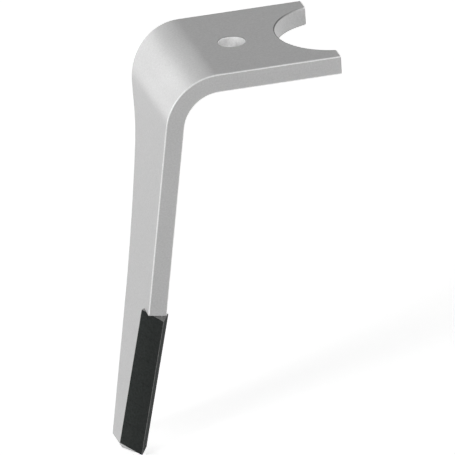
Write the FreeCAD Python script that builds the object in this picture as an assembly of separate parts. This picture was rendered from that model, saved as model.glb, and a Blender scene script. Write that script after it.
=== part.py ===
"""Power harrow tine: a bent steel strip blade with carbide tiles brazed on its leading edge.

The origin is the centre of the bolt hole, halfway through the flange. +X runs along the flange
towards its notched end, +Z is the flange's upper side, and the leading edge of the blade is at -Y.
All sizes are in millimetres.
"""
import FreeCAD
import Part
import math
import os

Vector = FreeCAD.Vector

# Steel strip
strip_thickness = 12.0
strip_width = 100.0
edge_break = 0.6

# Flange, measured from the bolt hole
hole_diameter = 17.5
hole_rim_chamfer = 0.6
hole_to_end = 58.0
hole_to_bend = 21.5
notch_radius = 39.5
notch_centre_past_end = 10.6

# Bend, and the blade's lean from square to the flange
bend_inner_radius = 24.0
lean_degrees = 8.5

# Blade below the bend, cut square at its tip
blade_length = 227.2

# Trailing edge on the flat blank, from the bend's start: stretches, each tangent to the last, of
# (length, turn in degrees), where a turn above zero narrows the blade faster
trailing_stretches = [(5.0, 0.0), (24.5, 17.5), (5.5, 0.0), (33.0, 24.5), (28.0, -31.0), (102.5, -11.0)]
trailing_step = 4.25

# Carbide tiles: V-shaped, seated on two bevels of the leading edge
tile_count = 6
tile_length = 16.7
tile_wall = 2.6
tile_end_chamfer = 0.25
ridge_land = 0.9
band_slope_degrees = 12.0
shoulder_slope_degrees = 4.0
bevel_edge_offset = 8.8
outer_bevel_reach = 11.4
inner_bevel_reach = 6.1
tip_below_tiles = 0.9

# Room by which cutting shapes run past what they cut
overrun = 10.0
skin_overrun = 5.0

# Worked out from the sizes above
lean = math.radians(lean_degrees)
bend_angle = math.pi / 2 - lean
bend_outer_radius = bend_inner_radius + strip_thickness
bend_arc = bend_outer_radius * bend_angle
top_z = strip_thickness / 2
front_y = -strip_width / 2
bend_centre = Vector(-hole_to_bend, 0, top_z - bend_outer_radius)
down = Vector(-math.sin(lean), 0, -math.cos(lean))
inward = Vector(math.cos(lean), 0, -math.sin(lean))
across = Vector(0, 1, 0)
flange_reach = hole_to_bend + hole_to_end
tip_arc = bend_arc + blade_length


def skin(length, depth):
    """Point in the XZ plane: a length along the outer skin from the bend's start, and a depth under it."""
    if length <= 0:
        return Vector(-hole_to_bend - length, 0, top_z - depth)
    angle = min(length / bend_outer_radius, bend_angle)
    radius = bend_outer_radius - depth
    on_bend = bend_centre + Vector(-math.sin(angle), 0, math.cos(angle)) * radius
    return on_bend + down * max(length - bend_arc, 0)


def strip():
    """The bent strip from the flange's end to the tip, wider than needed where the trailing cut trims it."""
    rows = []
    for depth in (0, strip_thickness):
        lengths = (-flange_reach, 0, bend_arc / 2, bend_arc, tip_arc)
        rows.append([skin(length, depth) for length in lengths])
    edges = []
    for points in rows:
        edges.append(Part.makeLine(points[0], points[1]))
        edges.append(Part.Arc(points[1], points[2], points[3]).toShape())
        edges.append(Part.makeLine(points[3], points[4]))
    edges.append(Part.makeLine(rows[0][0], rows[1][0]))
    edges.append(Part.makeLine(rows[0][-1], rows[1][-1]))
    profile = Part.Face(Part.Wire(Part.__sortEdges__(edges)))
    profile.translate(across * front_y)
    return profile.extrude(across * (strip_width + overrun))


def trailing_points():
    """The trailing edge on the flat blank as (length, width) pairs, from the bend to past the tip."""
    length = 0.0
    width = strip_width
    angle = 0.0
    points = [(length, width)]
    for stretch, turn in trailing_stretches + [(tip_arc, 0.0)]:
        count = math.ceil(stretch / trailing_step)
        for step in range(count):
            angle += math.radians(turn) / count / 2
            length += stretch / count * math.cos(angle)
            width -= stretch / count * math.sin(angle)
            angle += math.radians(turn) / count / 2
            points.append((length, width))
    return [point for point in points if point[0] < tip_arc + 2 * overrun]


def flange_side_cut():
    """Solid behind the flange's back side, up to the bend."""
    corner = Vector(-hole_to_bend, -front_y, -top_z - skin_overrun)
    return Part.makeBox(flange_reach + overrun, strip_width, strip_thickness + 2 * skin_overrun, corner)


def trailing_cut():
    """Solid behind the trailing edge, its wall square to both skins of the strip."""
    points = trailing_points()
    rails = []
    for depth in (-skin_overrun, strip_thickness + skin_overrun):
        rail = Part.BSplineCurve()
        rail_points = [skin(length, depth) + across * (front_y + width) for length, width in points]
        rail.interpolate(Points=rail_points, InitialTangent=Vector(-1, 0, 0), FinalTangent=down)
        rails.append(rail.toShape())
    wall = Part.makeRuledSurface(rails[0], rails[1])
    return wall.extrude(across * strip_width)


# Direction of the tile band, and the way across it from the leading edge to the trailing one
slope = math.radians(band_slope_degrees)
along_band = down * math.cos(slope) + across * math.sin(slope)
across_band = across * math.cos(slope) - down * math.sin(slope)
band_length = tile_count * tile_length

# The V seat in the plane square to the band: (distance in from the outer face, distance back)
seat_edge = Vector(bevel_edge_offset, 0, 0)
outer_seat_end = Vector(0, outer_bevel_reach, 0)
inner_seat_end = Vector(strip_thickness, inner_bevel_reach, 0)
outer_leg = (outer_seat_end - seat_edge).normalize()
inner_leg = (inner_seat_end - seat_edge).normalize()
outer_normal = Vector(-outer_leg.y, outer_leg.x, 0)
inner_normal = Vector(inner_leg.y, -inner_leg.x, 0)
ridge = seat_edge + (outer_normal + inner_normal) * (tile_wall / (1 + outer_normal.dot(inner_normal)))

# The ridge ends a little above the tip, and the band's top lies on the strip's leading edge
band_drop = band_length * math.cos(slope) - ridge.y * math.sin(slope) + tip_below_tiles
band_top = skin(tip_arc - band_drop, 0) + across * front_y


def band_face(points, distance):
    """Face in the plane square to the band, a distance below its top."""
    placed = [band_top + along_band * distance + inward * point.x + across_band * point.y for point in points]
    return Part.Face(Part.makePolygon(placed + placed[:1]))


def above_shoulder():
    """Everything above the steel's shoulder, which meets the first tile's end where the outer bevel ends."""
    tilt = math.radians(shoulder_slope_degrees)
    normal = down * math.cos(tilt) + across * math.sin(tilt)
    backward = across * math.cos(tilt) - down * math.sin(tilt)
    middle = band_top + across_band * outer_bevel_reach
    signs = ((-1, -1), (1, -1), (1, 1), (-1, 1))
    corners = [middle + (inward * a + backward * b) * (4 * strip_width) for a, b in signs]
    return Part.Face(Part.makePolygon(corners + corners[:1])).extrude(normal * -strip_width)


def seat_cut():
    """Everything in front of the two bevels, from the steel's shoulder to past the tip."""
    reach = strip_width
    points = [
        seat_edge,
        seat_edge + outer_leg * (reach / 2),
        seat_edge + outer_leg * (reach / 2) - Vector(0, 2 * reach, 0),
        seat_edge + inner_leg * (reach / 2) - Vector(0, 2 * reach, 0),
        seat_edge + inner_leg * (reach / 2),
    ]
    seat = band_face(points, -overrun).extrude(along_band * (band_length + 5 * overrun))
    return seat.cut(above_shoulder())


def carbide_tile(number):
    """One V tile with square legs and a narrow land on its ridge; number counts from the top."""
    land_step = ridge_land / (outer_leg - inner_leg).Length
    points = [
        seat_edge,
        outer_seat_end,
        outer_seat_end + outer_normal * tile_wall,
        ridge + outer_leg * land_step,
        ridge + inner_leg * land_step,
        inner_seat_end + inner_normal * tile_wall,
        inner_seat_end,
    ]
    tile = band_face(points, number * tile_length).extrude(along_band * tile_length)
    return tile.makeChamfer(tile_end_chamfer, outside_end_edges(tile, number))


def outside_end_edges(tile, number):
    """The edges round both ends of a tile that lie on its two outer flanks."""
    chosen = []
    for edge in tile.Edges:
        middle = edge.CenterOfMass - band_top
        level = middle.dot(along_band)
        at_end = min(abs(level - number * tile_length), abs(level - (number + 1) * tile_length)) < 1e-6
        place = Vector(middle.dot(inward), middle.dot(across_band), 0) - seat_edge
        outer_flank = abs(place.dot(outer_normal) - tile_wall) < 1e-6
        inner_flank = abs(place.dot(inner_normal) - tile_wall) < 1e-6
        if at_end and (outer_flank or inner_flank):
            chosen.append(edge)
    return chosen


def bolt_hole():
    """The hole's cylinder with a small chamfer at both rims."""
    radius = hole_diameter / 2
    bottom = Vector(0, 0, -top_z)
    hole = Part.makeCylinder(radius, strip_thickness, bottom)
    wide = radius + hole_rim_chamfer
    lower_rim = Part.makeCone(wide, radius, hole_rim_chamfer, bottom)
    upper_rim = Part.makeCone(radius, wide, hole_rim_chamfer, Vector(0, 0, top_z - hole_rim_chamfer))
    return hole.fuse([lower_rim, upper_rim])


def notch():
    """The round notch in the flange's free end."""
    centre = Vector(hole_to_end + notch_centre_past_end, 0, -top_z - overrun)
    return Part.makeCylinder(notch_radius, strip_thickness + 2 * overrun, centre)


def depth_under_skin(point):
    """How deep a point lies under the strip's outer skin."""
    if point.x > -hole_to_bend:
        return top_z - point.z
    spoke = Vector(point.x, 0, point.z) - bend_centre
    if spoke.dot(down) > 0:
        return bend_outer_radius + spoke.dot(inward)
    return bend_outer_radius - spoke.Length


def worn_edges(body):
    """The sharp edges that run along one skin of the strip, not through its thickness."""
    chosen = []
    for edge in body.Edges:
        start = depth_under_skin(edge.firstVertex().Point)
        end = depth_under_skin(edge.lastVertex().Point)
        middle = edge.valueAt((edge.FirstParameter + edge.LastParameter) / 2)
        normals = []
        for face in body.ancestorsOfType(edge, Part.Face):
            normals.append(face.normalAt(*face.Surface.parameter(middle)))
        is_sharp = normals[0].getAngle(normals[1]) > math.radians(30)
        if is_sharp and abs(start - end) < strip_thickness / 2:
            chosen.append(edge)
    return chosen


def tine_body():
    """The steel: strip, trailing edge, notch, broken edges, bolt hole and the tiles' seat."""
    body = strip()
    body = body.cut(flange_side_cut())
    body = body.cut(trailing_cut())
    body = body.cut(notch())
    body = body.makeChamfer(edge_break, worn_edges(body))
    return body.cut(bolt_hole()).cut(seat_cut())


os.makedirs("parts", exist_ok=True)
tine_body().exportStep("parts/tine_body.step")
for number in range(tile_count):
    carbide_tile(number).exportStep("parts/carbide_tile_%d.step" % (number + 1))
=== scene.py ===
"""Power harrow tine on a pale floor: bent steel blade with carbide tiles on its leading edge.

Sizes in millimetres repeat those of the solid model; the scene itself is in metres.
"""
import math

import bmesh
import bpy
from mathutils import Matrix, Vector


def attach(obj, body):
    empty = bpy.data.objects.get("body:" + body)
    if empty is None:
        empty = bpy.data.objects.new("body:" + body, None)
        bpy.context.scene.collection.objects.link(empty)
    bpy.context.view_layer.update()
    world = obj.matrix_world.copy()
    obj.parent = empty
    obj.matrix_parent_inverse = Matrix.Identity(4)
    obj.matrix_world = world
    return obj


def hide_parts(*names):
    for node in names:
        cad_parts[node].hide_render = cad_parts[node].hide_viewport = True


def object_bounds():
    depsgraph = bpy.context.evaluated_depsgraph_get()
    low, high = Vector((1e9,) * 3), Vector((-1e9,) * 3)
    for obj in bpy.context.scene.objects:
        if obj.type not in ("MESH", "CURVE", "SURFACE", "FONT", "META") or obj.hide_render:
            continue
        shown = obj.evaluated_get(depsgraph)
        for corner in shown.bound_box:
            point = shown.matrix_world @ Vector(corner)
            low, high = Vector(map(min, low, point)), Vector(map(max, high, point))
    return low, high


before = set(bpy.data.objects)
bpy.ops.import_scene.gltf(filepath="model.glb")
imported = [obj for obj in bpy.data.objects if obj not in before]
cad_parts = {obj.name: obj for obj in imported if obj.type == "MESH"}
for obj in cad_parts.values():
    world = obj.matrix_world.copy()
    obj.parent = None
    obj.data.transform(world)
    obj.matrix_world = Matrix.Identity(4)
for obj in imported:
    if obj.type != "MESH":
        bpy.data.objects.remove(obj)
cad_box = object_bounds()

MM = 0.001

# Steel strip, flange and bend
strip_thickness = 12.0
strip_width = 100.0
hole_diameter = 17.5
hole_to_end = 58.0
hole_to_bend = 21.5
notch_radius = 39.5
notch_centre_past_end = 10.6
bend_inner_radius = 24.0
lean = math.radians(8.5)
blade_length = 227.2

# Trailing edge on the flat blank: stretches of (length, turn in degrees), each tangent to the last
trailing_stretches = [(5.0, 0.0), (24.5, 17.5), (5.5, 0.0), (33.0, 24.5), (28.0, -31.0), (102.5, -11.0)]

# Carbide tiles and the V seat that they are brazed on
tile_count = 6
tile_length = 16.7
tile_wall = 2.6
ridge_land = 0.9
band_slope = math.radians(12.0)
shoulder_slope = math.radians(4.0)
bevel_edge_offset = 8.8
outer_bevel_reach = 11.4
inner_bevel_reach = 6.1
tip_below_tiles = 0.9

# Rounding of the strip's edges, the corners of its outline, the hole's rims and the tiles' edges
edge_radius = 0.6
corner_radius = 0.9
hole_rim_radius = 0.3
tile_edge_radius = 0.18
round_steps = 4
tile_edge_steps = 3

# Steps in which the curves are drawn, and the spacing at which the trailing edge is worked out
bend_steps = 30
blade_steps = 56
notch_steps = 56
hole_sides = 96
trailing_spacing = 0.5

# Length before the tip that is left to the rounding of its corners
tip_stretch = 2.5

# Room by which the cutting shapes run past the steel
hole_overrun = 5.0
seat_overrun = 40.0

# Distance within which a point counts as lying on a face
near = 0.01

# Cosines above which a face is square to a direction, and above which it is turned to it at all
square_on = 0.9
turned_to = 0.5

# Painted light: 1 on the strip's rounded edges, a painted highlight, fading to 0 over this width beside
# them, and below zero on the rims of the notch and the hole, a painted shade that makes them darker than
# the flat steel
edge_fade = 0.2
rim_painted_shade = -1.4

# What a painted light of 1 adds to the steel's tone, as a share of it, and to its metallic share, for the
# painted highlight on the rounded edges
painted_light_tone = 0.6
highlight_metal = 0.2

# Share by which a tile's tone falls from its middle to its ridge
ridge_fade = 0.14

# Stretch that holds most of a noise texture's values
noise_low = 0.3
noise_high = 0.7

# Depth of the grain that only the light shows, in metres
grain_depth = 0.0001

# Worked out from the sizes above
bend_angle = math.pi / 2 - lean
bend_outer_radius = bend_inner_radius + strip_thickness
bend_arc = bend_outer_radius * bend_angle
top_z = strip_thickness / 2
front_y = -strip_width / 2
flange_reach = hole_to_bend + hole_to_end
tip_arc = bend_arc + blade_length
bend_centre = Vector((-hole_to_bend, 0, top_z - bend_outer_radius))
down = Vector((-math.sin(lean), 0, -math.cos(lean)))
inward = Vector((math.cos(lean), 0, -math.sin(lean)))
across = Vector((0, 1, 0))


def skin(length, depth):
    """Point in the XZ plane: a length along the outer skin from the bend's start, and a depth under it."""
    if length <= 0:
        return Vector((-hole_to_bend - length, 0, top_z - depth))
    angle = min(length / bend_outer_radius, bend_angle)
    spoke = Vector((-math.sin(angle), 0, math.cos(angle)))
    return bend_centre + spoke * (bend_outer_radius - depth) + down * max(length - bend_arc, 0)


def place(length, width, depth):
    """Point of the bent strip, in metres, from its place on the flat blank and its depth."""
    return (skin(length, depth) + across * (front_y + width)) * MM


# The tile band: its direction, the way across it, and the V seat in the plane square to it
along_band = down * math.cos(band_slope) + across * math.sin(band_slope)
across_band = across * math.cos(band_slope) - down * math.sin(band_slope)
band_length = tile_count * tile_length
seat_edge = Vector((bevel_edge_offset, 0))
outer_seat_end = Vector((0, outer_bevel_reach))
inner_seat_end = Vector((strip_thickness, inner_bevel_reach))
outer_leg = (outer_seat_end - seat_edge).normalized()
inner_leg = (inner_seat_end - seat_edge).normalized()
outer_normal = Vector((-outer_leg.y, outer_leg.x))
inner_normal = Vector((inner_leg.y, -inner_leg.x))
ridge = seat_edge + (outer_normal + inner_normal) * (tile_wall / (1 + outer_normal.dot(inner_normal)))
band_drop = band_length * math.cos(band_slope) - ridge.y * math.sin(band_slope) + tip_below_tiles
band_top = skin(tip_arc - band_drop, 0) + across * front_y


def on_band(spot, distance):
    """Point in metres from its spot in the plane square to the band and its distance down it."""
    return (band_top + along_band * distance + inward * spot.x + across_band * spot.y) * MM


def band_spot(point):
    """Spot of a point, in millimetres, in the plane square to the band, measured from the seat's edge."""
    from_top = point - band_top
    return Vector((from_top.dot(inward), from_top.dot(across_band))) - seat_edge


# The blade

def trailing_line():
    """The trailing edge on the flat blank as closely spaced (length, width) pairs."""
    length = 0.0
    width = strip_width
    angle = 0.0
    points = [(length, width)]
    for stretch, turn in trailing_stretches + [(tip_arc, 0.0)]:
        count = math.ceil(stretch / trailing_spacing)
        for _ in range(count):
            angle += math.radians(turn) / count / 2
            length += stretch / count * math.cos(angle)
            width -= stretch / count * math.sin(angle)
            angle += math.radians(turn) / count / 2
            points.append((length, width))
    return points


def width_at(line, length):
    """Width of the blank at a length, read from the trailing line."""
    for (start, start_width), (end, end_width) in zip(line, line[1:]):
        if start <= length <= end:
            return start_width + (end_width - start_width) * (length - start) / (end - start)
    return line[-1][1]


def notch_line():
    """The round notch in the flange's free end as (length, width) pairs."""
    half_angle = math.acos(notch_centre_past_end / notch_radius)
    points = []
    for i in range(notch_steps + 1):
        angle = half_angle * (2 * i / notch_steps - 1)
        length = -flange_reach - notch_centre_past_end + notch_radius * math.cos(angle)
        points.append((length, strip_width / 2 + notch_radius * math.sin(angle)))
    return points


def rounded_corner(before, corner, after):
    """Points of the arc that rounds a corner between two other points, all (length, width) pairs."""
    tip = Vector(corner)
    to_before = (Vector(before) - tip).normalized()
    to_after = (Vector(after) - tip).normalized()
    half = to_before.angle(to_after) / 2
    reach = corner_radius / math.tan(half)
    centre = tip + (to_before + to_after).normalized() * (corner_radius / math.sin(half))
    start = tip + to_before * reach - centre
    end = tip + to_after * reach - centre
    turn = start.angle_signed(end)
    points = []
    for step in range(round_steps + 1):
        angle = -turn * step / round_steps
        points.append(tuple(centre + Matrix.Rotation(angle, 2) @ start))
    return points


def strip_outline():
    """The flat blank's outline and the indices of its front, trailing and notch points."""
    line = trailing_line()
    stations = [bend_arc * i / bend_steps for i in range(bend_steps + 1)]
    blade_run = blade_length - tip_stretch
    stations += [bend_arc + blade_run * (i + 1) / blade_steps for i in range(blade_steps)]
    widths = [width_at(line, station) for station in stations]
    last = stations[-1]
    tip_width = widths[-1]
    end = -flange_reach
    notch = notch_line()
    corners = [
        ((0, 0), (end, 0), notch[0]),
        ((end, 0), notch[0], notch[1]),
        (notch[-2], notch[-1], (end, strip_width)),
        (notch[-1], (end, strip_width), (0, strip_width)),
        ((last, tip_width), (tip_arc, tip_width), (tip_arc, 0)),
        ((tip_arc, tip_width), (tip_arc, 0), (last, 0)),
    ]
    arcs = [rounded_corner(*corner) for corner in corners]
    outline = [(station, 0.0) for station in reversed(stations)]
    front = list(reversed(range(len(stations))))
    outline += arcs[0] + arcs[1]
    rim = range(len(outline), len(outline) + notch_steps - 1)
    outline += notch[1:-1] + arcs[2] + arcs[3]
    trailing = [len(outline) + i for i in range(len(stations))]
    outline += list(zip(stations, widths)) + arcs[4] + arcs[5]
    return outline, front, trailing, rim


def outward(outline):
    """For each outline point the step outwards that keeps an even offset from both its sides."""
    steps = []
    count = len(outline)
    for i in range(count):
        before, corner, after = (Vector(outline[j % count]) for j in (i - 1, i, i + 1))
        side_before = Vector(((corner - before).y, -(corner - before).x)).normalized()
        side_after = Vector(((after - corner).y, -(after - corner).x)).normalized()
        total = side_before + side_after
        steps.append(total * (2 / total.length_squared))
    area = sum(p[0] * q[1] - p[1] * q[0] for p, q in zip(outline, outline[1:] + outline[:1]))
    return steps if area > 0 else [-step for step in steps]


def edge_profile():
    """Rings round the strip's side from skin to skin, as (inset, depth, whether it is on a rounding)."""
    fade = edge_radius + edge_fade
    corner = [(fade, 0, False)]
    for i in range(round_steps + 1):
        angle = math.pi / 2 * i / round_steps
        corner.append((edge_radius * (1 - math.sin(angle)), edge_radius * (1 - math.cos(angle)), True))
    corner.append((0, fade, False))
    mirrored = [(inset, strip_thickness - depth, on_round) for inset, depth, on_round in reversed(corner)]
    return corner + mirrored


def round_painted_light(index, rim):
    """Painted light on the rounding at an outline point: 1, a painted highlight, but below zero on the
    notch, a painted shade, lowest at its root.
    """
    if index not in rim:
        return 1.0
    from_root = abs(2 * (index - rim.start) / (len(rim) - 1) - 1)
    return rim_painted_shade * (1 - from_root ** 2)


def join_rings(form, rings):
    """Makes the faces between neighbouring rings of as many points each."""
    for ring, following in zip(rings, rings[1:]):
        for i in range(len(ring)):
            j = (i + 1) % len(ring)
            form.faces.new((ring[i], ring[j], following[j], following[i]))


def steel_mesh():
    """The strip with rounded edges, before its hole and the tiles' seat are cut."""
    outline, front, trailing, rim = strip_outline()
    steps = outward(outline)
    form = bmesh.new()
    # The 'edge' attribute holds painted light: a painted highlight on the roundings, painted shade on the
    # notch's rim
    painted_light_level = form.verts.layers.float.new("edge")
    rings = []
    for inset, depth, on_round in edge_profile():
        ring = []
        for i, ((length, width), step) in enumerate(zip(outline, steps)):
            vert = form.verts.new(place(length - step.x * inset, width - step.y * inset, depth))
            if on_round:
                vert[painted_light_level] = round_painted_light(i, rim)
            ring.append(vert)
        rings.append(ring)
    join_rings(form, rings)
    for ring in (rings[0], rings[-1]):
        form.faces.new(ring[front[0]:trailing[0] + 1])
        for i in range(len(front) - 1):
            form.faces.new((ring[front[i]], ring[front[i + 1]], ring[trailing[i + 1]], ring[trailing[i]]))
        form.faces.new(ring[trailing[-1]:] + [ring[front[-1]]])
    bmesh.ops.recalc_face_normals(form, faces=form.faces)
    return form


def prism(section, starts, end):
    """Closed mesh of a section swept down the band, each of its points from a start of its own."""
    form = bmesh.new()
    rings = [[form.verts.new(on_band(spot, start)) for spot, start in zip(section, starts)]]
    rings.append([form.verts.new(on_band(spot, end)) for spot in section])
    for ring in rings:
        form.faces.new(ring)
    join_rings(form, rings)
    bmesh.ops.recalc_face_normals(form, faces=form.faces)
    return form


def seat_cutter():
    """Everything in front of the two bevels, from the steel's shoulder to past the tip.

    The shoulder slopes less than the tiles' ends and meets the first one where the outer bevel ends.
    """
    reach = strip_width
    forward = Vector((0, -2 * reach))
    outer_far = seat_edge + outer_leg * (reach / 2)
    inner_far = seat_edge + inner_leg * (reach / 2)
    section = [seat_edge, outer_far, outer_far + forward, inner_far + forward, inner_far]
    starts = [(spot.y - outer_bevel_reach) * math.tan(band_slope - shoulder_slope) for spot in section]
    return prism(section, starts, band_length + seat_overrun)


def hole_cutter():
    """The bolt hole with rounded rims, as a turned solid that stands out of both faces."""
    radius = hole_diameter / 2
    upper = []
    for i in range(round_steps):
        angle = math.pi / 2 * i / round_steps
        wider = hole_rim_radius * (1 - math.cos(angle))
        upper.append((radius + wider, top_z - hole_rim_radius * (1 - math.sin(angle))))
    # The last step of the rounding goes on at a slant through the flange's face
    slant_width = 0.6 * hole_rim_radius
    slant_height = 0.15
    outside = upper[-1][0] + slant_width
    upper += [(outside, top_z + slant_height), (outside, top_z + hole_overrun)]
    profile = [(reach, -level) for reach, level in reversed(upper)] + upper
    turns = [2 * math.pi * i / hole_sides for i in range(hole_sides)]
    form = bmesh.new()
    rings = []
    for reach, level in profile:
        points = [Vector((reach * math.cos(turn), reach * math.sin(turn), level)) for turn in turns]
        rings.append([form.verts.new(point * MM) for point in points])
    join_rings(form, rings)
    form.faces.new(rings[0])
    form.faces.new(rings[-1])
    bmesh.ops.recalc_face_normals(form, faces=form.faces)
    return form


def new_object(name, form):
    """Scene object made from a bmesh, which is used up."""
    mesh = bpy.data.meshes.new(name)
    form.to_mesh(mesh)
    form.free()
    piece = bpy.data.objects.new(name, mesh)
    bpy.context.scene.collection.objects.link(piece)
    return piece


def subtract(piece, form):
    """Cuts a closed bmesh out of a piece."""
    tool = new_object("cutter", form)
    cut = piece.modifiers.new("cut", "BOOLEAN")
    cut.operation = "DIFFERENCE"
    cut.solver = "EXACT"
    cut.object = tool
    evaluated = piece.evaluated_get(bpy.context.evaluated_depsgraph_get())
    mesh = bpy.data.meshes.new_from_object(evaluated)
    piece.modifiers.clear()
    piece.data = mesh
    bpy.data.objects.remove(tool)


def split_at_first_tile(piece):
    """Divides the blade's faces in the plane of the first tile's upper end."""
    form = bmesh.new()
    form.from_mesh(piece.data)
    geom = form.verts[:] + form.edges[:] + form.faces[:]
    bmesh.ops.bisect_plane(form, geom=geom, plane_co=on_band(Vector((0, 0)), 0), plane_no=along_band)
    form.to_mesh(piece.data)
    form.free()


def shade(piece, sharp_degrees):
    """Smooth shading with sharp edges above an angle, and normals led by the larger faces."""
    form = bmesh.new()
    form.from_mesh(piece.data)
    for face in form.faces:
        face.smooth = True
    for edge in form.edges:
        edge.smooth = len(edge.link_faces) == 2 and edge.calc_face_angle(0) < math.radians(sharp_degrees)
    form.to_mesh(piece.data)
    form.free()
    normals = piece.modifiers.new("normals", "WEIGHTED_NORMAL")
    normals.keep_sharp = True


def is_open_seat(centre):
    """Whether a face's centre lies on a bevel of the seat above the first tile."""
    spot = band_spot(centre)
    on_bevel = min(abs(spot.dot(outer_normal)), abs(spot.dot(inner_normal))) < near
    return on_bevel and -tile_length < (centre - band_top).dot(along_band) < 0


def mark_machined(piece):
    """Gives the hole's wall, the notch's wall and the open seat their own materials in the blade's list."""
    satin, bored_highlit, cut, dark_seat = range(4)
    notch_x = hole_to_end + notch_centre_past_end
    flange_skin = top_z - 0.1 * edge_radius
    for face in piece.data.polygons:
        centre = face.center / MM
        face.material_index = dark_seat if is_open_seat(centre) else satin
        if abs(centre.z) > flange_skin or centre.x < -hole_to_bend:
            continue
        if math.hypot(centre.x, centre.y) < hole_diameter / 2 + edge_radius:
            face.material_index = bored_highlit
        elif math.hypot(centre.x - notch_x, centre.y) < notch_radius + edge_radius:
            face.material_index = cut


def paint_shade_on_hole_rims(piece):
    """Sets the painted light round the bolt hole, which the cut leaves undefined: painted shade on its
    rims, none elsewhere.
    """
    painted_light_level = piece.data.attributes["edge"].data
    radius = hole_diameter / 2
    for vert in piece.data.vertices:
        reach = math.hypot(vert.co.x, vert.co.y) / MM
        if reach < radius + edge_radius:
            on_round = reach > radius + near and abs(vert.co.z) / MM < top_z - near
            painted_light_level[vert.index].value = rim_painted_shade if on_round else 0.0


# The tiles

def tile_mesh(number):
    """One V tile with softly broken outer edges; its ends have a material of their own, and its ridge one
    with a painted highlight.
    """
    sintered, ground, painted_edge_light = range(3)
    land_step = ridge_land / (outer_leg - inner_leg).length
    section = [
        seat_edge,
        outer_seat_end,
        outer_seat_end + outer_normal * tile_wall,
        ridge + outer_leg * land_step,
        ridge + inner_leg * land_step,
        inner_seat_end + inner_normal * tile_wall,
        inner_seat_end,
    ]
    form = prism(section, [number * tile_length] * len(section), (number + 1) * tile_length)
    for face in form.faces:
        is_end = abs(face.normal.dot(along_band)) > square_on
        face.material_index = ground if is_end else sintered
    flank_height = 0.9 * tile_wall
    broken = []
    for edge in form.edges:
        spot = band_spot((edge.verts[0].co + edge.verts[1].co) / 2 / MM)
        height_on_seat = max(spot.dot(outer_normal), spot.dot(inner_normal))
        if height_on_seat > flank_height:
            broken.append(edge)
    bmesh.ops.bevel(form, geom=broken, offset=tile_edge_radius * MM, segments=tile_edge_steps, profile=0.5,
                    affect="EDGES", clamp_overlap=True)
    outer_way = inward * outer_normal.x + across_band * outer_normal.y
    inner_way = inward * inner_normal.x + across_band * inner_normal.y
    # Faces turned to the front along the ridge get the much lighter ridge material, a painted highlight
    for face in form.faces:
        faces_front = min(face.normal.dot(outer_way), face.normal.dot(inner_way)) > turned_to
        if faces_front and abs(face.normal.dot(along_band)) < turned_to:
            face.material_index = painted_edge_light
    return form


# Materials

class Graph:
    """The nodes of one material or world, with short ways to add and join them."""

    def __init__(self, tree):
        self.tree = tree

    def add(self, kind, **settings):
        """New node; each setting is the value of an input or else a property."""
        node = self.tree.nodes.new(kind)
        for key, value in settings.items():
            if key in node.inputs:
                node.inputs[key].default_value = value
            else:
                setattr(node, key, value)
        return node

    def join(self, source, target):
        self.tree.links.new(source, target)

    def place(self):
        """Socket of the object's own coordinates."""
        return self.add("ShaderNodeTexCoord").outputs["Object"]

    def noise(self, scale, detail, roughness):
        """Socket of a noise fixed to the object."""
        noise = self.add("ShaderNodeTexNoise", Scale=scale, Detail=detail, Roughness=roughness)
        self.join(self.place(), noise.inputs["Vector"])
        return noise.outputs["Fac"]

    def spread(self, source, low, high, start=noise_low, end=noise_high, clamp=True):
        """Socket that goes from low to high while its source goes from start to end."""
        spread = self.add("ShaderNodeMapRange", clamp=clamp)
        spread.inputs["From Min"].default_value = start
        spread.inputs["From Max"].default_value = end
        spread.inputs["To Min"].default_value = low
        spread.inputs["To Max"].default_value = high
        self.join(source, spread.inputs["Value"])
        return spread.outputs["Result"]

    def swing(self, noise, share):
        """Factor that swings by a share round 1 with a noise."""
        return self.spread(noise, 1 - share, 1 + share)

    def maths(self, operation, first, second):
        """Socket of an operation on two others."""
        maths = self.add("ShaderNodeMath", operation=operation)
        self.join(first, maths.inputs[0])
        self.join(second, maths.inputs[1])
        return maths.outputs["Value"]

    def tint(self, colour, share, target):
        """Feeds a target with a colour times a share."""
        scaled = self.add("ShaderNodeVectorMath", operation="SCALE")
        scaled.inputs[0].default_value = colour
        self.join(share, scaled.inputs["Scale"])
        self.join(scaled.outputs["Vector"], target)

    def bump(self, height, strength, target):
        """Feeds a shader's normal with fine bumps."""
        bump = self.add("ShaderNodeBump", Strength=strength, Distance=grain_depth)
        self.join(height, bump.inputs["Height"])
        self.join(bump.outputs["Normal"], target)

    def seen(self):
        """Socket that is 1 for rays which show a thing, straight or mirrored, and else 0."""
        rays = self.add("ShaderNodeLightPath").outputs
        seen = rays["Is Camera Ray"]
        for kind in ("Is Glossy Ray", "Is Transmission Ray"):
            seen = self.maths("MAXIMUM", seen, rays[kind])
        return seen


def new_material(name):
    """Material with its shader and its graph."""
    material = bpy.data.materials.new(name)
    material.use_nodes = True
    return material, material.node_tree.nodes["Principled BSDF"], Graph(material.node_tree)


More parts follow.
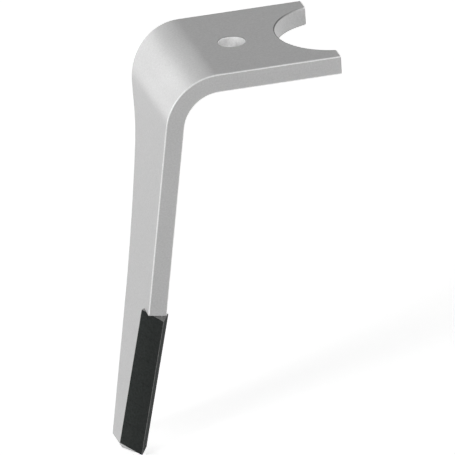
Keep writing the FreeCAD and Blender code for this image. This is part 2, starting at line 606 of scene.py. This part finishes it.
def steel_material(name, base, metallic):
    """Satin steel with fine grain and faint clouds, with a painted highlight, lighter and more metallic, on
    its rounded edges, and painted shade on the rims of the notch and the hole.
    """
    material, shader, graph = new_material(name)
    grain = graph.noise(scale=900.0, detail=3.0, roughness=0.6)
    cloud = graph.noise(scale=28.0, detail=4.0, roughness=0.55)
    # The 'edge' attribute holds painted light: above zero a painted highlight, below zero painted shade
    painted_light_level = graph.add("ShaderNodeAttribute", attribute_name="edge").outputs["Fac"]
    mottle = graph.maths("MULTIPLY", graph.swing(grain, 0.08), graph.swing(cloud, 0.02))
    painted_edge_light = graph.spread(painted_light_level, 1.0, 1.0 + painted_light_tone, start=0.0, end=1.0, clamp=False)
    highlight_metallic = graph.spread(painted_light_level, metallic, metallic + highlight_metal, start=0.0, end=1.0)
    graph.tint((base, base, base), graph.maths("MULTIPLY", mottle, painted_edge_light), shader.inputs["Base Color"])
    graph.join(highlight_metallic, shader.inputs["Metallic"])
    graph.join(graph.spread(cloud, 0.34, 0.42), shader.inputs["Roughness"])
    graph.bump(grain, 0.15, shader.inputs["Normal"])
    shader.inputs["Specular IOR Level"].default_value = 0.2
    return material


def carbide_material(name, base):
    """Mottled carbide, a little darker towards its ridge."""
    material, shader, graph = new_material(name)
    grain = graph.noise(scale=700.0, detail=4.0, roughness=0.65)
    way_across = graph.add("ShaderNodeVectorMath", operation="DOT_PRODUCT")
    way_across.inputs[1].default_value = across_band
    graph.join(graph.place(), way_across.inputs[0])
    start = (band_top * MM).dot(across_band)
    end = start + outer_bevel_reach * MM
    fade = graph.spread(way_across.outputs["Value"], 1 - ridge_fade, 1 + ridge_fade, start, end)
    tone = graph.maths("MULTIPLY", graph.swing(grain, 0.3), fade)
    graph.tint(base, tone, shader.inputs["Base Color"])
    graph.bump(grain, 0.2, shader.inputs["Normal"])
    shader.inputs["Roughness"].default_value = 0.85
    shader.inputs["Specular IOR Level"].default_value = 0.15
    return material


# Floor, light and camera

# Gap under the part and half the floor's side, in metres
floor_gap = 0.0002
floor_reach = 3.0

# What the floor adds to its own lit colour where it is seen, so that it comes out near white
floor_glow = 0.72

# Strength of the even light from all round
ambient = 0.03


def pale_floor():
    """Wide matt floor just under the part, which keeps its shadow."""
    mesh = bpy.data.meshes.new("floor")
    level = cad_box[0].z - floor_gap
    corners = [(-floor_reach, -floor_reach), (floor_reach, -floor_reach),
               (floor_reach, floor_reach), (-floor_reach, floor_reach)]
    mesh.from_pydata([(x, y, level) for x, y in corners], [], [(0, 1, 2, 3)])
    material, shader, graph = new_material("pale_floor")
    shader.inputs["Base Color"].default_value = (0.8, 0.8, 0.8, 1)
    shader.inputs["Roughness"].default_value = 0.9
    glow = graph.add("ShaderNodeEmission")
    graph.join(graph.spread(graph.seen(), 0.0, floor_glow, start=0.0, end=1.0), glow.inputs["Strength"])
    both = graph.add("ShaderNodeAddShader")
    graph.join(shader.outputs["BSDF"], both.inputs[0])
    graph.join(glow.outputs["Emission"], both.inputs[1])
    graph.join(both.outputs["Shader"], graph.tree.nodes["Material Output"].inputs["Surface"])
    mesh.materials.append(material)
    made = bpy.data.objects.new("floor", mesh)
    bpy.context.scene.collection.objects.link(made)
    return made


def studio_world():
    """Faint light from all round, plain white where the background is seen."""
    world = bpy.data.worlds.new("studio")
    bpy.context.scene.world = world
    world.use_nodes = True
    graph = Graph(world.node_tree)
    backdrop = world.node_tree.nodes["Background"]
    backdrop.inputs["Color"].default_value = (1, 1, 1, 1)
    graph.join(graph.spread(graph.seen(), ambient, 1.0, start=0.0, end=1.0), backdrop.inputs["Strength"])


def sun(name, direction, strength, spread_degrees):
    """Distant lamp that shines from a direction."""
    lamp = bpy.data.lights.new(name, "SUN")
    lamp.energy = strength
    lamp.angle = math.radians(spread_degrees)
    holder = bpy.data.objects.new(name, lamp)
    holder.rotation_mode = "QUATERNION"
    holder.rotation_quaternion = Vector(direction).to_track_quat("Z", "Y")
    bpy.context.scene.collection.objects.link(holder)


def strip_light(name, position, target, strength, wide, high):
    """Rectangular lamp that faces a target and isn't seen itself."""
    lamp = bpy.data.lights.new(name, "AREA")
    lamp.shape = "RECTANGLE"
    lamp.size = wide
    lamp.size_y = high
    lamp.energy = strength
    holder = bpy.data.objects.new(name, lamp)
    holder.location = position
    holder.rotation_mode = "QUATERNION"
    holder.rotation_quaternion = (Vector(position) - Vector(target)).to_track_quat("Z", "Y")
    holder.visible_camera = False
    bpy.context.scene.collection.objects.link(holder)


def add_camera(azimuth, elevation, roll, aim, distance, lens):
    """Camera that looks at a point from angles in radians and a distance in metres."""
    level = Vector((math.cos(azimuth), math.sin(azimuth), 0))
    forward = Vector((-math.sin(azimuth) * math.cos(elevation),
                      math.cos(azimuth) * math.cos(elevation), -math.sin(elevation)))
    upright = level.cross(forward)
    right = level * math.cos(roll) + upright * math.sin(roll)
    up = upright * math.cos(roll) - level * math.sin(roll)
    camera_data = bpy.data.cameras.new("camera")
    camera_data.lens = lens
    camera_data.sensor_width = 36.0
    camera_data.clip_start = 1.0
    camera_data.clip_end = 40.0
    camera = bpy.data.objects.new("camera", camera_data)
    pose = Matrix((right, up, -forward)).transposed().to_4x4()
    pose.translation = Vector(aim) - forward * distance
    camera.matrix_world = pose
    bpy.context.scene.collection.objects.link(camera)
    bpy.context.scene.camera = camera


# The scene

blade = new_object("blade", steel_mesh())
subtract(blade, hole_cutter())
subtract(blade, seat_cutter())
split_at_first_tile(blade)
shade(blade, sharp_degrees=30)
blade.data.materials.clear()
blade.data.materials.append(steel_material("satin_steel", base=0.56, metallic=0.08))
# The hole's wall is a bored finish, and its near-white tone is a painted highlight
blade.data.materials.append(steel_material("bored_steel_painted_highlight", base=0.92, metallic=0.6))
blade.data.materials.append(steel_material("cut_steel", base=0.57, metallic=0.08))
# The open seat above the first tile is a darker steel
blade.data.materials.append(steel_material("dark_seat_steel", base=0.22, metallic=0.08))
mark_machined(blade)
paint_shade_on_hole_rims(blade)
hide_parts("tine_body")
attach(blade, "root")

sintered_carbide = carbide_material("sintered_carbide", base=(0.029, 0.0325, 0.031))
ground_carbide = carbide_material("ground_carbide", base=(0.42, 0.42, 0.415))
# The ridge is far lighter than the tile's flanks: a painted highlight
highlight_ridge = carbide_material("highlight_ridge", base=(0.2, 0.203, 0.2))
for number in range(tile_count):
    tile = new_object("tile_%d" % (number + 1), tile_mesh(number))
    shade(tile, sharp_degrees=40)
    for material in (sintered_carbide, ground_carbide, highlight_ridge):
        tile.data.materials.append(material)
    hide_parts("carbide_tile_%d" % (number + 1))
    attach(tile, "root")

floor = pale_floor()

studio_world()
sun("key", (-0.83, -0.49, 0.26), strength=1.72, spread_degrees=20)
sun("side_fill", (0.85, -0.50, 0.05), strength=2.2, spread_degrees=30)
sun("rim_high", (-0.18, 0.90, 0.38), strength=0.64, spread_degrees=40)
sun("rim_mid", (-0.38, 0.90, 0.2), strength=0.57, spread_degrees=30)
strip_light("rim_low", (-0.54, 1.08, -0.14), target=(-0.05, 0, -0.02), strength=0.85, wide=0.5, high=0.2)
add_camera(
    azimuth=math.radians(-13.3545),
    elevation=math.radians(22.5072),
    roll=math.radians(-3.3946),
    aim=(-0.01076, -0.00462, -0.11685),
    distance=13.5066,
    lens=1700.0,
)
bpy.context.scene.view_settings.view_transform = "Standard"
